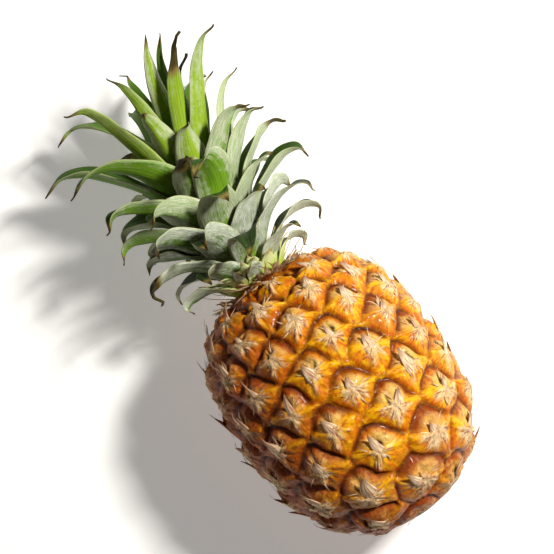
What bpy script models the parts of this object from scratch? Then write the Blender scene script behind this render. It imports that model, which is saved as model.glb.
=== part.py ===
"""A ripe pineapple with its crown, lying on its side.

Frame: +X runs along the fruit's axis from the cut stalk to the crown, +Z is up. The origin is the middle
of the small flat spot under the fruit that the whole thing rests on. Metres throughout.

Pieces: the fruit (all its eyes grown together as one body), the stub of the cut stalk, the short stem
inside the crown, and every crown leaf on its own.
"""

import math
import random
from dataclasses import dataclass, replace

import bmesh
import bpy
from mathutils import Vector
from mathutils.bvhtree import BVHTree

MM = 0.001
GAP = 0.3 * MM

# ---- fruit -----------------------------------------------------------------------------------------------
FRUIT_HALF_LENGTH = 75.5 * MM
FRUIT_RADIUS = 60.6 * MM
SHOULDER_FULLNESS = 2.8
BASE_FULLNESS = 2.4
FLAT_SPOT_DEPTH = 1.3 * MM
FLAT_SPOT_REACH = 20.0 * MM
CENTRE_HEIGHT = FRUIT_RADIUS - FLAT_SPOT_DEPTH

GOLDEN_ANGLE = math.radians(137.50776)
EYE_COUNT = 106
EYE_PHASE = math.radians(351.0)
EYE_CROWDING = 0.4
EYE_RELIEF = 4.2 * MM
EYE_SHOULDER = 9.5 * MM

STALK_RADIUS = 10.0 * MM
STALK_LENGTH = 3.6 * MM
STALK_RECESS = 4.0 * MM
CROWN_SEAT_RADIUS = 16.0 * MM

FRUIT_AROUND = 64
FRUIT_ALONG = 40
PROFILE_STEPS = 600

# ---- crown -----------------------------------------------------------------------------------------------
LEAF_COUNT = 57
CROWN_PHASE = math.radians(4.0)
STEM_RADII = ((0.0, 14.0 * MM), (12 * MM, 12.5 * MM), (40 * MM, 8.5 * MM), (60 * MM, 4.2 * MM), (66 * MM, 1.8 * MM))
CROWN_LEAN = 1.15
LOWEST_LEAF = 1.2 * MM
HIGHEST_LEAF = 63.0 * MM

# Level runs from 0 at the lowest leaf to 1 at the innermost.
START_ANGLES = ((0.0, 58), (0.1, 47), (0.25, 38), (0.5, 34), (0.7, 25), (0.85, 15), (1.0, 3))
END_ANGLES = ((0.0, 130), (0.1, 122), (0.25, 108), (0.5, 92), (0.7, 80), (0.85, 52), (1.0, 12))
LENGTHS = ((0.0, 32), (0.1, 41), (0.25, 52), (0.5, 63), (0.7, 80), (0.85, 86), (1.0, 84))
WIDTHS = ((0.0, 17), (0.1, 21), (0.25, 25), (0.5, 27), (0.7, 26), (0.85, 21), (1.0, 13))
TIP_CURLS = ((0.0, 50), (0.5, 45), (0.85, 25), (1.0, 10))
CURL_START = 0.72
THICKNESSES = ((0.0, 1.2), (0.3, 1.4), (0.8, 1.3), (1.0, 1.0))

# Leaves with a shape of their own: length factor, sideways sweep in degrees, change of the end angle.
CHARACTER = {
    2: (1.12, 0, 0),
    4: (0.85, -6, 0),
    7: (1.20, 0, 14),
    9: (1.25, 14, 0),
    11: (1.2, 0, 0),
    12: (1.06, -6, 10),
    17: (0.68, -22, 0),
    20: (1.1, 0, 0),
    22: (0.92, -6, 0),
    25: (0.74, -8, 0),
    28: (1.03, 0, -8),
    30: (1.08, 14, 0),
    32: (1.0, 14, 0),
    33: (0.86, 0, -26),
    35: (0.76, -14, 0),
    36: (0.86, 0, -10),
    37: (1.36, 4, -30),
    38: (0.78, -20, 0),
    40: (1.1, 22, 0),
    41: (0.83, 6, -34),
    43: (0.62, 0, -8),
    45: (1.16, 6, -26),
    46: (1.06, 12, -30),
    48: (0.72, 0, -12),
    49: (0.7, 0, 0),
    50: (1.2, 8, 14),
    51: (0.98, -8, 0),
    53: (0.92, 0, -18),
    54: (0.76, 0, 0),
    55: (0.9, 0, 0),
    56: (0.95, -10, 0),
}

STATIONS = 8
ACROSS = (-1.0, -1.0 / 3.0, 1.0 / 3.0, 1.0)
HOOK_POWER = 1.6
CHANNEL = 0.16
TIP_THINNING = 0.55
FLOOR_CLEARANCE = 0.6 * MM

# ---- colours (linear) ------------------------------------------------------------------------------------
FRUIT_COLOUR = (0.62, 0.27, 0.035, 1.0)
STALK_COLOUR = (0.42, 0.30, 0.14, 1.0)
STEM_COLOUR = (0.35, 0.42, 0.10, 1.0)
LOW_LEAF_COLOUR = (0.13, 0.19, 0.07, 1.0)
HIGH_LEAF_COLOUR = (0.24, 0.38, 0.06, 1.0)


def between(table, key):
    """Read a value from a table of (key, value) pairs, straight between its entries."""
    for (k0, v0), (k1, v1) in zip(table, table[1:]):
        if key <= k1:
            return v0 + (v1 - v0) * max(0.0, key - k0) / (k1 - k0)
    return table[-1][1]


def smooth(value):
    """Ease from 0 to 1 with a level start and end."""
    value = min(1.0, max(0.0, value))
    return value * value * (3.0 - 2.0 * value)


# ---- the fruit's body ------------------------------------------------------------------------------------
def body_radius(x):
    """Radius of the smooth barrel at a distance x from its middle."""
    fullness = SHOULDER_FULLNESS if x > 0 else BASE_FULLNESS
    inside = 1.0 - (abs(x) / FRUIT_HALF_LENGTH) ** fullness
    return FRUIT_RADIUS * max(0.0, inside) ** (1.0 / fullness)


def profile():
    """Outline of the barrel from the stalk end to the crown end, as (x, radius) points."""
    points = []
    for step in range(PROFILE_STEPS + 1):
        x = -FRUIT_HALF_LENGTH * math.cos(math.pi * step / PROFILE_STEPS)
        points.append((x, body_radius(x)))
    return points


def spaced_profile(count):
    """The same outline as count + 1 points that are equally far apart along it."""
    points = profile()
    travelled = [0.0]
    for (x0, r0), (x1, r1) in zip(points, points[1:]):
        travelled.append(travelled[-1] + math.hypot(x1 - x0, r1 - r0))
    xs = list(zip(travelled, (p[0] for p in points)))
    radii = list(zip(travelled, (p[1] for p in points)))
    steps = [travelled[-1] * i / count for i in range(count + 1)]
    return [(between(xs, s), between(radii, s)) for s in steps]


def eye_centres():
    """Middle of each eye on the barrel, one golden angle further round each time."""
    points = profile()
    shares = [0.0]
    for (x0, r0), (x1, r1) in zip(points, points[1:]):
        crowding = 1.0 + EYE_CROWDING * (x0 + x1) / (2.0 * FRUIT_HALF_LENGTH)
        shares.append(shares[-1] + (r0 + r1) * math.hypot(x1 - x0, r1 - r0) * crowding)
    table = [(share / shares[-1], p[0]) for share, p in zip(shares, points)]
    centres = []
    for eye in range(EYE_COUNT):
        x = between(table, (eye + 0.5) / EYE_COUNT)
        turn = -(eye * GOLDEN_ANGLE + EYE_PHASE)
        radius = body_radius(x)
        centres.append(Vector((x, radius * math.sin(turn), radius * math.cos(turn))))
    return centres


def crease_depth(point, centres):
    """How far a point of the barrel sinks into the creases between the eyes."""
    distances = sorted((point - c).length for c in centres)
    rise = smooth((distances[1] - distances[0]) / EYE_SHOULDER)
    ends = smooth((math.hypot(point.y, point.z) - CROWN_SEAT_RADIUS) / (9.0 * MM))
    under = Vector((point.x, point.y, point.z + FRUIT_RADIUS)).length
    rest = smooth((under - FLAT_SPOT_REACH) / (9.0 * MM))
    return EYE_RELIEF * (1.0 - rise) * ends * rest


def fruit_point(x, radius, turn, centres):
    """A point of the fruit's skin, in the fruit's own frame."""
    direction = Vector((0.0, math.sin(turn), math.cos(turn)))
    point = Vector((x, 0.0, 0.0)) + direction * radius
    outward = Vector((x / FRUIT_HALF_LENGTH, point.y / FRUIT_RADIUS, point.z / FRUIT_RADIUS)).normalized()
    point -= outward * crease_depth(point, centres)
    if x < 0.0:
        point.x += STALK_RECESS * smooth(1.0 - (radius - STALK_RADIUS) / (7.0 * MM))
    return point


def build_fruit(material):
    """The whole fruit as one body, cut level where it rests."""
    centres = eye_centres()
    stations = spaced_profile(FRUIT_ALONG)
    bm = bmesh.new()
    bmesh.ops.create_uvsphere(bm, u_segments=FRUIT_AROUND, v_segments=FRUIT_ALONG, radius=1.0)
    for vert in bm.verts:
        polar = math.acos(max(-1.0, min(1.0, -vert.co.z)))
        x, radius = stations[round(polar / math.pi * FRUIT_ALONG)]
        turn = math.atan2(vert.co.y, vert.co.x)
        vert.co = fruit_point(x, radius, turn, centres)
    bmesh.ops.translate(bm, verts=bm.verts, vec=(0.0, 0.0, CENTRE_HEIGHT))
    cut = bmesh.ops.bisect_plane(
        bm, geom=bm.verts[:] + bm.edges[:] + bm.faces[:], plane_co=(0, 0, 0), plane_no=(0, 0, -1), clear_outer=True
    )
    rim = [e for e in cut["geom_cut"] if isinstance(e, bmesh.types.BMEdge)]
    bmesh.ops.contextual_create(bm, geom=rim)
    return finish(bm, "fruit", material)


def build_stalk(material):
    """The cut stub of the stalk, standing in the dimple at the base."""
    bm = bmesh.new()
    bmesh.ops.create_cone(
        bm, cap_ends=True, segments=20, radius1=STALK_RADIUS * 0.94, radius2=STALK_RADIUS * 0.8, depth=STALK_LENGTH
    )
    rim = [e for e in bm.edges if all(v.co.z > 0 for v in e.verts)]
    bmesh.ops.bevel(bm, geom=rim, offset=0.8 * MM, offset_type="OFFSET", segments=1, profile=0.5, affect="EDGES",
                    material=-1)
    floor_x = -FRUIT_HALF_LENGTH + STALK_RECESS - GAP
    for vert in bm.verts:
        along = vert.co.z + STALK_LENGTH / 2.0
        vert.co = Vector((floor_x - along, vert.co.y, vert.co.x + CENTRE_HEIGHT))
    return finish(bm, "stalk_stub", material)


# ---- the crown -------------------------------------------------------------------------------------------
@dataclass(frozen=True)
class LeafPlan:
    """Everything that decides one leaf's shape."""

    name: str
    level: float
    height: float
    turn: float
    length: float
    width: float
    thickness: float
    sweep: float
    twist: float
    open_start: float
    open_end: float

    def opening(self, travelled):
        """Angle between the leaf and the crown's axis, after some way along the leaf."""
        start = between(START_ANGLES, self.level) + self.open_start
        end = between(END_ANGLES, self.level) + self.open_end
        share = travelled / (between(LENGTHS, self.level) * MM)
        curl = between(TIP_CURLS, self.level) * smooth((travelled / self.length - CURL_START) / (1.0 - CURL_START))
        return math.radians(start + (end - start) * share**HOOK_POWER + curl)

    def half_width(self, share):
        """Half of the blade's width, broadest a third of the way up."""
        return self.width / 2.0 * max(0.0, math.sin(math.pi * (0.28 + 0.72 * share))) ** 0.8

    def eased(self, amount):
        """The same leaf with less of its own character."""
        return replace(
            self, sweep=self.sweep * amount, twist=self.twist * amount,
            open_start=self.open_start * amount, open_end=self.open_end * amount,
        )


def crown_axis(height):
    """Middle of the crown's stem at a height above the fruit; it leans to one side further up."""
    return Vector((FRUIT_HALF_LENGTH + height, -CROWN_LEAN * height * height, CENTRE_HEIGHT))


def leaf_spine(plan):
    """Stations up the leaf as (height, distance from the axis, opening, share of the length)."""
    steps = 4
    height = plan.height
    reach = between(STEM_RADII, plan.height) + GAP + plan.thickness * 0.6
    stations = [(height, reach, plan.opening(0.0), 0.0)]
    stride = plan.length / (STATIONS * steps)
    for step in range(STATIONS * steps):
        opening = plan.opening((step + 0.5) * stride)
        height += math.cos(opening) * stride
        reach += math.sin(opening) * stride
        if (step + 1) % steps == 0:
            stations.append((height, reach, plan.opening((step + 1) * stride), (step + 1) / (STATIONS * steps)))
    return stations


def leaf_ring(plan, station, grow):
    """Six points round the blade: one edge, two outside, the other edge, two inside."""
    height, reach, opening, share = station
    half = plan.half_width(share) + grow
    thick = plan.thickness * (1.0 - TIP_THINNING * share) + 2.0 * grow
    turn = plan.turn + plan.sweep * share * share
    wrap = half / max(reach, half / 1.1)
    twist = plan.twist * share * share
    middle, outer, inner = [], [], []
    for across in ACROSS:
        around = turn + across * wrap
        radial = Vector((0.0, math.sin(around), math.cos(around)))
        under = Vector((-math.sin(opening), 0.0, 0.0)) + radial * math.cos(opening)
        point = crown_axis(height) + radial * reach
        point -= under * (CHANNEL * half * (across * across - 0.4) * min(1.0, 2.0 * share))
        point += under * (across * half * math.sin(twist))
        middle.append(point)
        outer.append(point + under * thick / 2.0)
        inner.append(point - under * thick / 2.0)
    return [middle[0], outer[1], outer[2], middle[3], inner[2], inner[1]]


def leaf_points(plan, grow=0.0):
    """All rings of a leaf from its base, and its pointed tip."""
    stations = leaf_spine(plan)
    rings = [leaf_ring(plan, station, grow) for station in stations[:-1]]
    height, reach, _, _ = stations[-1]
    turn = plan.turn + plan.sweep
    tip = crown_axis(height) + Vector((0.0, math.sin(turn), math.cos(turn))) * reach
    return rings, tip


def loft(rings, tip):
    """A closed solid drawn out ring by ring and brought to a point."""
    bm = bmesh.new()
    bmesh.ops.create_circle(bm, cap_ends=True, segments=len(rings[0]), radius=1.0)
    cap = bm.faces[:][0]
    order = list(cap.verts)
    for vert, point in zip(order, rings[0]):
        vert.co = point
    for index, ring in enumerate(rings[1:]):
        cap, fresh = drawn_out(bm, cap, keep=index == 0)
        order = [min(fresh, key=lambda v, old=old: (v.co - old.co).length) for old in order]
        for vert, point in zip(order, ring):
            vert.co = point
    _, last = drawn_out(bm, cap, keep=False)
    bmesh.ops.pointmerge(bm, verts=last, merge_co=tip)
    bmesh.ops.recalc_face_normals(bm, faces=bm.faces)
    return bm


def drawn_out(bm, cap, keep):
    """Extrude an end face, without leaving the old face inside; return the new face and its corners."""
    grown = bmesh.ops.extrude_face_region(bm, geom=[cap])["geom"]
    if not keep:
        bmesh.ops.delete(bm, geom=[cap], context="FACES_ONLY")
    fresh = [g for g in grown if isinstance(g, bmesh.types.BMVert)]
    return [g for g in grown if isinstance(g, bmesh.types.BMFace)][0], fresh


def tree(rings, tip):
    """Search tree of a leaf's surface."""
    bm = loft(rings, tip)
    found = BVHTree.FromBMesh(bm)
    bm.free()
    return found


def lowest(rings, tip):
    """Lowest point of a leaf."""
    return min([tip.z] + [p.z for ring in rings for p in ring])


def first_plans():
    """One plan per leaf, from the lowest to the innermost, each a golden angle on from the last."""
    rng = random.Random(12)
    plans = []
    for index in range(LEAF_COUNT):
        level = index / (LEAF_COUNT - 1)
        stretch, aside, more_open = CHARACTER.get(index + 1, (rng.uniform(0.92, 1.08), 0, 0))
        plans.append(LeafPlan(
            name=f"crown_leaf_{index + 1:02d}",
            level=level,
            height=LOWEST_LEAF + (HIGHEST_LEAF - LOWEST_LEAF) * level,
            turn=CROWN_PHASE - index * GOLDEN_ANGLE,
            length=between(LENGTHS, level) * MM * stretch,
            width=between(WIDTHS, level) * MM * rng.uniform(0.92, 1.06),
            thickness=between(THICKNESSES, level) * MM,
            sweep=math.radians(aside + rng.uniform(-9.0, 9.0)),
            twist=math.radians(rng.uniform(-28.0, 28.0)),
            open_start=rng.uniform(-2.0, 2.0),
            open_end=more_open + rng.uniform(-9.0, 9.0),
        ))
    return plans


def shortened(plan):
    """The plan with its leaf short enough to clear the surface the fruit lies on."""
    while lowest(*leaf_points(plan)) < FLOOR_CLEARANCE:
        plan = replace(plan, length=plan.length * 0.96)
    return plan


def settled(plan, placed):
    """Ease a leaf's own character until it clears every leaf placed before it."""
    for spread in range(8):
        for amount in (1.0, 0.7, 0.4, 0.15, 0.0):
            trial = shortened(plan.eased(amount))
            trial = replace(trial, open_start=trial.open_start + 1.5 * spread)
            shell = tree(*leaf_points(trial, grow=GAP))
            if not any(shell.overlap(other) for other in placed):
                return trial
        plan = replace(plan, width=plan.width * 0.95)
    print("no clear place for", plan.name)
    return trial


def build_stem(material):
    """The short tapering stem that the leaves grow from, following the crown's lean."""
    bm = bmesh.new()
    top = STEM_RADII[-1][0]
    bmesh.ops.create_cone(bm, cap_ends=True, segments=16, radius1=1.0, radius2=1.0, depth=1.0)
    for cut in range(1, 8):
        geom = bm.verts[:] + bm.edges[:] + bm.faces[:]
        bmesh.ops.bisect_plane(bm, geom=geom, plane_co=(0, 0, cut / 8.0 - 0.5), plane_no=(0, 0, 1))
    for vert in bm.verts:
        height = GAP + (top - GAP) * (vert.co.z + 0.5)
        radius = between(STEM_RADII, height)
        vert.co = crown_axis(height) + Vector((0.0, vert.co.y, vert.co.x)) * radius
    return finish(bm, "crown_stem", material)


# ---- scene -----------------------------------------------------------------------------------------------
def make_material(name, colour, roughness):
    """A plain surface colour."""
    material = bpy.data.materials.new(name)
    material.use_nodes = True
    shader = material.node_tree.nodes["Principled BSDF"]
    shader.inputs["Base Color"].default_value = colour
    shader.inputs["Roughness"].default_value = roughness
    shader.inputs["Metallic"].default_value = 0.0
    return material


def finish(bm, name, material):
    """Close the mesh up, face it outward and put it in the scene."""
    bmesh.ops.recalc_face_normals(bm, faces=bm.faces)
    mesh = bpy.data.meshes.new(name)
    bm.to_mesh(mesh)
    bm.free()
    mesh.shade_smooth()
    mesh.set_sharp_from_angle(angle=math.radians(50.0))
    mesh.materials.append(material)
    obj = bpy.data.objects.new(name, mesh)
    bpy.context.scene.collection.objects.link(obj)
    return obj


def mixed(first, second, share):
    """A colour part of the way from one to another."""
    return tuple(a + (b - a) * share for a, b in zip(first, second))


def build_leaves(fruit):
    """Every crown leaf, placed from the inside out so that each one clears the rest."""
    fresh = bmesh.new()
    fresh.from_mesh(fruit.data)
    placed = [BVHTree.FromBMesh(fresh)]
    fresh.free()
    low = make_material("leaf_low", LOW_LEAF_COLOUR, 0.5)
    middle = make_material("leaf_middle", mixed(LOW_LEAF_COLOUR, HIGH_LEAF_COLOUR, 0.5), 0.5)
    high = make_material("leaf_high", HIGH_LEAF_COLOUR, 0.5)
    for plan in reversed(first_plans()):
        plan = settled(plan, placed)
        rings, tip = leaf_points(plan)
        placed.append(tree(rings, tip))
        material = low if plan.level < 0.33 else middle if plan.level < 0.7 else high
        finish(loft(rings, tip), plan.name, material)


def main():
    """Clear the scene and build the pineapple."""
    for obj in list(bpy.data.objects):
        bpy.data.objects.remove(obj)
    fruit = build_fruit(make_material("rind", FRUIT_COLOUR, 0.45))
    build_stalk(make_material("cut_stalk", STALK_COLOUR, 0.8))
    build_stem(make_material("crown_stem", STEM_COLOUR, 0.6))
    build_leaves(fruit)


main()
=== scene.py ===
"""Looks for a ripe pineapple that lies on its side on a pale floor.

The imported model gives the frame: +X runs along the fruit from the cut stalk to the crown, +Z is up, and
the floor is at Z = 0. The fruit's rind, its papery bracts and every crown leaf are built around it.
"""

import logging
import math
from dataclasses import dataclass
from enum import Enum

import bmesh
import bpy
import numpy as np
from mathutils import Matrix, Vector


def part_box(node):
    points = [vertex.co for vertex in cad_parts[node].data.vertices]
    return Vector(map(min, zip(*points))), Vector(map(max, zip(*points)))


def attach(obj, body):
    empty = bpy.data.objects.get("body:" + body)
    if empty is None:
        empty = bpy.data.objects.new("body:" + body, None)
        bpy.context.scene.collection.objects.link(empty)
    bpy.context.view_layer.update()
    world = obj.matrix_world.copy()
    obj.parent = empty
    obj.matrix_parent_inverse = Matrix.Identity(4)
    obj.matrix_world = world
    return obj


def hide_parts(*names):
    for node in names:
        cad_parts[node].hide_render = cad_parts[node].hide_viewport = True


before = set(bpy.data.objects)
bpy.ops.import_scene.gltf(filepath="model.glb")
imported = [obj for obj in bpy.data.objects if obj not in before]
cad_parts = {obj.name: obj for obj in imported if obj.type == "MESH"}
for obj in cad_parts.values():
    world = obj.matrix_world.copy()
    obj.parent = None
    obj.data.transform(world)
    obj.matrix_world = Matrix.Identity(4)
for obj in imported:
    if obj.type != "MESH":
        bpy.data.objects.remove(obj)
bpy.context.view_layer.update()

LOG = logging.getLogger("pineapple")
MM = 0.001
GOLDEN_ANGLE = math.radians(137.50776)
TURN = 2.0 * math.pi
BODY = "root"

# Settings of the nodes that the finishes use most.
EASE = {"interpolation_type": "SMOOTHSTEP"}
MULTIPLY = {"operation": "MULTIPLY"}
MULTIPLY_ADD = {"operation": "MULTIPLY_ADD"}
COLOUR = {"data_type": "RGBA", "clamp_factor": True}


class Slot(Enum):
    """The record's material slots."""

    RIND = "rind"
    LEAF_LOW = "leaf_low"
    LEAF_MIDDLE = "leaf_middle"
    LEAF_HIGH = "leaf_high"


# ---------------------------------------------------------------------------------------------------------
# small tools
# ---------------------------------------------------------------------------------------------------------
def linear(colour: str) -> tuple[float, float, float, float]:
    """Turn an sRGB hex colour into linear RGBA.

    Args:
        colour: Six hex digits with a leading hash.

    Returns:
        Linear red, green, blue and an alpha of one.
    """
    parts = [int(colour[i : i + 2], 16) / 255.0 for i in (1, 3, 5)]
    return tuple(c / 12.92 if c <= 0.04045 else ((c + 0.055) / 1.055) ** 2.4 for c in parts) + (1.0,)


def add_node(
    tree: bpy.types.NodeTree, kind: str, settings: dict, sockets: dict, out: int | str = 0
) -> bpy.types.NodeSocket:
    """Add one node with its settings and what feeds it.

    Args:
        tree: Node tree of the material.
        kind: The node's type name.
        settings: Properties of the node itself.
        sockets: Input name or number to a value, or to the output socket that feeds it.
        out: Which output to hand back.

    Returns:
        The chosen output socket.
    """
    node = tree.nodes.new(kind)
    for name, value in settings.items():
        setattr(node, name, value)
    for key, value in sockets.items():
        if isinstance(value, bpy.types.NodeSocket):
            tree.links.new(value, node.inputs[key])
        else:
            node.inputs[key].default_value = value
    return node.outputs[out]


def smooth(value: np.ndarray | float, low: float = 0.0, high: float = 1.0) -> np.ndarray:
    """Ease from 0 at low to 1 at high, level at both ends.

    Args:
        value: Numbers to ease.
        low: Where the ease starts.
        high: Where it ends; below low for a falling ease.

    Returns:
        Eased numbers from 0 to 1.
    """
    share = np.clip((np.asarray(value, float) - low) / (high - low), 0.0, 1.0)
    return share * share * (3.0 - 2.0 * share)


def unit(vectors: np.ndarray) -> np.ndarray:
    """Scale vectors to length one.

    Args:
        vectors: Vectors along the last axis.

    Returns:
        The unit vectors.
    """
    return vectors / np.maximum(np.linalg.norm(vectors, axis=-1, keepdims=True), 1e-12)


def place(mesh: bpy.types.Mesh, name: str, material: bpy.types.Material, slot: Slot, *nodes: str) -> bpy.types.Object:
    """Put a finished mesh in the scene as a piece of the pineapple.

    Args:
        mesh: The mesh, already in place.
        name: The piece's name.
        material: What it is made of.
        slot: The record's material slot; not used.
        nodes: CAD nodes that the piece stands for.

    Returns:
        The new object.
    """
    mesh.name = name
    mesh.materials.append(material)
    mesh.shade_smooth()
    piece = bpy.data.objects.new(name, mesh)
    bpy.context.scene.collection.objects.link(piece)
    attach(piece, BODY)
    if nodes:
        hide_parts(*nodes)
    LOG.info("%s: %d faces", name, len(mesh.polygons))
    return piece


def store(mesh: bpy.types.Mesh, name: str, values: np.ndarray) -> None:
    """Keep a number or a vector for every vertex, for the materials to read.

    Args:
        mesh: The mesh.
        name: Name of the attribute.
        values: One row per vertex.
    """
    if values.ndim == 1:
        mesh.attributes.new(name, "FLOAT", "POINT").data.foreach_set("value", values.astype(np.float32))
    else:
        layer = mesh.attributes.new(name, "FLOAT_VECTOR", "POINT")
        layer.data.foreach_set("vector", values.astype(np.float32).ravel())


def raise_sheet(
    bm: bmesh.types.BMesh,
    surface: np.ndarray,
    under: np.ndarray,
    thick: np.ndarray,
    marks: dict[str, np.ndarray],
) -> None:
    """Add a thin closed blade to a bmesh: a grid laid on a surface, then drawn out to its thickness.

    Args:
        bm: The bmesh to add to.
        surface: Middle of the blade, rows along by columns across by three.
        under: Unit vector towards the blade's outer face at each point.
        thick: Thickness at each point.
        marks: Name to a number per point, kept on the vertices of both faces.
    """
    rows, columns = surface.shape[:2]
    numbers = bm.verts.layers.float
    layers = {name: numbers.get(name) or numbers.new(name) for name in (*marks, "under")}
    verts = bmesh.ops.create_grid(bm, x_segments=columns - 1, y_segments=rows - 1, size=1.0)["verts"]
    faces = {face for vert in verts for face in vert.link_faces}
    spots = {}
    for vert in verts:
        column = round((vert.co.x + 1.0) / 2.0 * (columns - 1))
        row = round((vert.co.y + 1.0) / 2.0 * (rows - 1))
        spots[vert] = (row, column)
        for name, values in marks.items():
            vert[layers[name]] = float(values[row, column])
    lower = bmesh.ops.extrude_face_region(bm, geom=list(faces))["geom"]
    drawn = [g for g in lower if isinstance(g, bmesh.types.BMVert)]
    by_place = {(round(v.co.x, 5), round(v.co.y, 5)): spots[v] for v in verts}
    for vert in drawn:
        row, column = by_place[(round(vert.co.x, 5), round(vert.co.y, 5))]
        vert.co = Vector(surface[row, column] + under[row, column] * thick[row, column] * 0.5)
        vert[layers["under"]] = 1.0
        for name, values in marks.items():
            vert[layers[name]] = float(values[row, column])
    for vert, (row, column) in spots.items():
        vert.co = Vector(surface[row, column] - under[row, column] * thick[row, column] * 0.5)
        vert[layers["under"]] = 0.0


def closed_mesh(bm: bmesh.types.BMesh, name: str) -> bpy.types.Mesh:
    """Face a bmesh outwards and turn it into a mesh.

    Args:
        bm: The bmesh; it is used up.
        name: Name of the mesh.

    Returns:
        The mesh.
    """
    bmesh.ops.recalc_face_normals(bm, faces=bm.faces)
    mesh = bpy.data.meshes.new(name)
    bm.to_mesh(mesh)
    bm.free()
    return mesh


# ---------------------------------------------------------------------------------------------------------
# finishes
# ---------------------------------------------------------------------------------------------------------
@dataclass(frozen=True)
class Finish:
    """What every finish shares: a named material with one Principled shader."""

    name: str

    def start(self) -> tuple[bpy.types.Material, bpy.types.NodeTree, bpy.types.Node]:
        """Make the empty material.

        Returns:
            The material, its node tree and its shader node.
        """
        material = bpy.data.materials.new(self.name)
        material.use_nodes = True
        tree = material.node_tree
        return material, tree, tree.nodes["Principled BSDF"]

    def layered(
        self, tree: bpy.types.NodeTree, base: tuple | bpy.types.NodeSocket, layers: tuple
    ) -> bpy.types.NodeSocket:
        """Lay colours over each other, each let through by the product of two masks.

        Args:
            tree: Node tree of the material.
            base: Linear colour or socket at the bottom.
            layers: For each layer, its two masks and the hex colour or socket on top.

        Returns:
            The final colour socket.
        """
        colour = base
        for first, second, over in layers:
            mask = add_node(tree, "ShaderNodeMath", MULTIPLY, {0: first, 1: second})
            over = linear(over) if isinstance(over, str) else over
            colour = add_node(tree, "ShaderNodeMix", COLOUR, {0: mask, 6: colour, 7: over}, 2)
        return colour


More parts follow.
